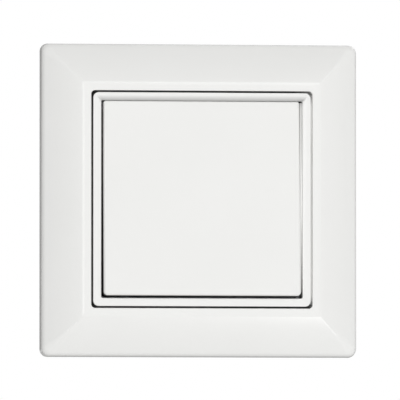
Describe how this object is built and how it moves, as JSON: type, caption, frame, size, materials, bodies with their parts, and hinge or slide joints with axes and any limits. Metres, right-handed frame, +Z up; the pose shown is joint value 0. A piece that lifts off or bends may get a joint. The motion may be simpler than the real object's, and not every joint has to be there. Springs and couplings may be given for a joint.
{
  "type": "push button light switch",
  "caption": "Flush wall light switch: square sloped cover frame, centre ring and a full-face rocking push button over a steel mounting plate with claws and a moulded contact housing.",
  "frame": {"origin": "middle of the two box-screw holes, on the wall plane at the back of the support plate", "axes": "+X to the right, +Z up, +Y into the wall; the button faces -Y"},
  "size_m": [0.0814, 0.0323, 0.08],
  "materials": {
    "white_plastic": "satin gloss moulded plastic",
    "housing_plastic": "matt moulded plastic",
    "yoke_plastic": "matt moulded plastic",
    "zinc_steel": "bright zinc plated",
    "brass": "stamped brass",
    "silver_tip": "polished silver contact"
  },
  "bodies": {
    "base": {"cover_frame": "white_plastic", "centre_ring": "white_plastic", "base_housing": "housing_plastic", "housing_cover": "housing_plastic", "support_plate": "zinc_steel", "plate_rivets": "brass", "fixed_contact_left": "brass", "fixed_contact_right": "brass", "fixed_contact_tips": "silver_tip", "return_spring": "zinc_steel", "claw_pin_left": "zinc_steel", "claw_pin_right": "zinc_steel"},
    "rocker": {"button_cap": "white_plastic", "rocker_yoke": "yoke_plastic"},
    "plunger": {"plunger": "yoke_plastic", "contact_spring": "zinc_steel"},
    "bridge": {"contact_bridge": "brass", "bridge_contact_tips": "silver_tip"},
    "terminal_screw_left": {"terminal_screw_left": "zinc_steel"},
    "terminal_cage_left": {"terminal_cage_left": "brass"},
    "claw_screw_left": {"claw_screw_left": "zinc_steel"},
    "claw_left": {"claw_left": "zinc_steel"},
    "terminal_screw_right": {"terminal_screw_right": "zinc_steel"},
    "terminal_cage_right": {"terminal_cage_right": "brass"},
    "claw_screw_right": {"claw_screw_right": "zinc_steel"},
    "claw_right": {"claw_right": "zinc_steel"}
  },
  "joints": [
    {"name": "rocker_press", "type": "hinge", "parent": "base", "child": "rocker", "pos_m": [0, -0.004, 0], "axis": [1, 0, 0], "range_deg": [0, 6.6], "stiffness_Nm_per_rad": 0.25, "springref_deg": -5.73},
    {"name": "plunger_slide", "type": "slide", "parent": "base", "child": "plunger", "axis": [0, 1, 0], "range_m": [0, 0.00138], "deforming": ["return_spring", "contact_spring"]},
    {"name": "bridge_slide", "type": "slide", "parent": "base", "child": "bridge", "axis": [0, 1, 0], "range_m": [0, 0.000952]},
    {"name": "terminal_screw_left_turn", "type": "hinge", "parent": "base", "child": "terminal_screw_left", "pos_m": [-0.008, 0, 0.013], "axis": [0, 1, 0], "range_deg": [0, 1440]},
    {"name": "terminal_cage_left_lift", "type": "slide", "parent": "base", "child": "terminal_cage_left", "axis": [0, -1, 0], "range_m": [0, 0.0024]},
    {"name": "claw_screw_left_turn", "type": "hinge", "parent": "base", "child": "claw_screw_left", "pos_m": [-0.0283, 0, 0], "axis": [0, 1, 0], "range_deg": [0, 1620]},
    {"name": "claw_left_swing", "type": "hinge", "parent": "base", "child": "claw_left", "pos_m": [-0.0228, 0.008, 0], "axis": [0, 0, 1], "range_deg": [0, 23.6]},
    {"name": "terminal_screw_right_turn", "type": "hinge", "parent": "base", "child": "terminal_screw_right", "pos_m": [0.008, 0, 0.013], "axis": [0, 1, 0], "range_deg": [0, 1440]},
    {"name": "terminal_cage_right_lift", "type": "slide", "parent": "base", "child": "terminal_cage_right", "axis": [0, -1, 0], "range_m": [0, 0.0024]},
    {"name": "claw_screw_right_turn", "type": "hinge", "parent": "base", "child": "claw_screw_right", "pos_m": [0.0283, 0, 0], "axis": [0, 1, 0], "range_deg": [0, 1620]},
    {"name": "claw_right_swing", "type": "hinge", "parent": "base", "child": "claw_right", "pos_m": [0.0228, 0.008, 0], "axis": [0, 0, 1], "range_deg": [-23.6, 0]}
  ],
  "couplings": [
    {"joint": "plunger_slide", "follows": "rocker_press", "m_per_rad": 0.011993},
    {"joint": "bridge_slide", "follows": "rocker_press", "m_per_rad": 0.0082471},
    {"joint": "terminal_screw_left_turn", "follows": "terminal_cage_left_lift", "rad_per_m": 10471},
    {"joint": "claw_screw_left_turn", "follows": "claw_left_swing", "ratio": 68.637},
    {"joint": "terminal_screw_right_turn", "follows": "terminal_cage_right_lift", "rad_per_m": 10471},
    {"joint": "claw_screw_right_turn", "follows": "claw_right_swing", "ratio": -68.637}
  ]
}
